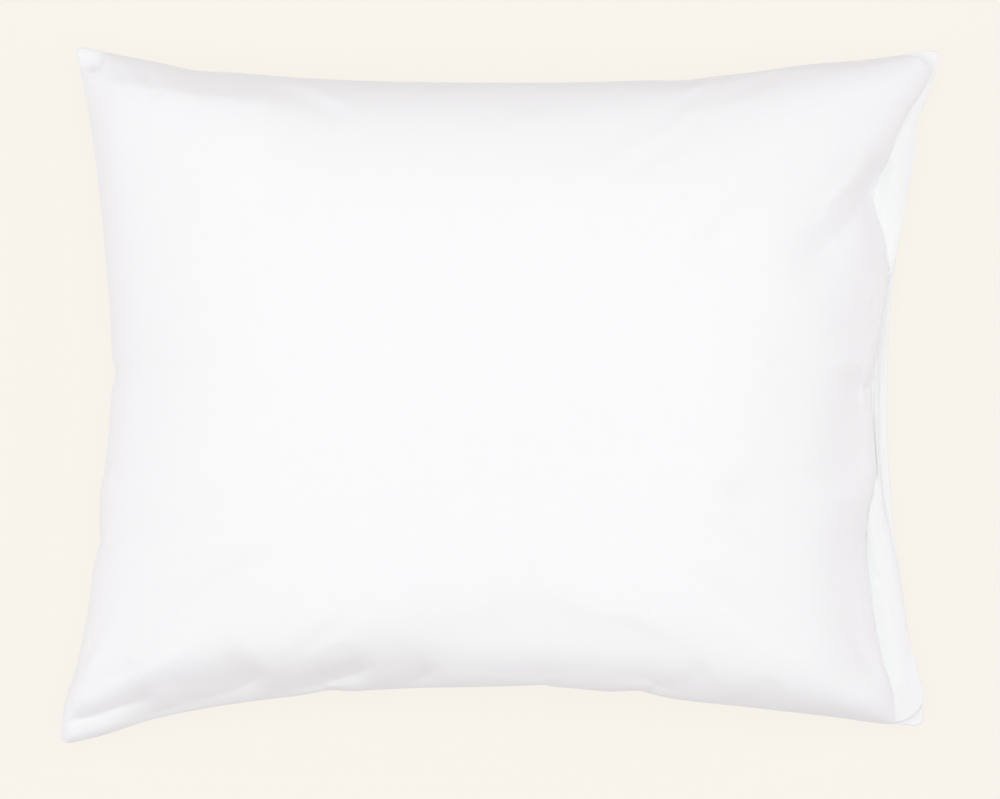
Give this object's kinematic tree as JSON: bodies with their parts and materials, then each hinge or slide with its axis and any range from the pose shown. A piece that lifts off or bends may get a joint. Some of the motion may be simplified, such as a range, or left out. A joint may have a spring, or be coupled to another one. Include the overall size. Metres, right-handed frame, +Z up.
{
  "type": "filled pillowcase",
  "caption": "Plump white cotton pillowcase lying on its back, drawn in between thin corner tips, with a slack, folded open end.",
  "frame": {"origin": "on the surface it lies on, under the centre of its bounding box", "axes": "+X towards the open end, +Y across the case, +Z up out of the front"},
  "size_m": [0.6201, 0.4901, 0.1359],
  "materials": {
    "front_cotton": "matte plain weave",
    "back_cotton": "matte plain weave"
  },
  "bodies": {
    "root": {"front_panel": "front_cotton", "back_panel": "back_cotton"}
  },
  "joints": []
}
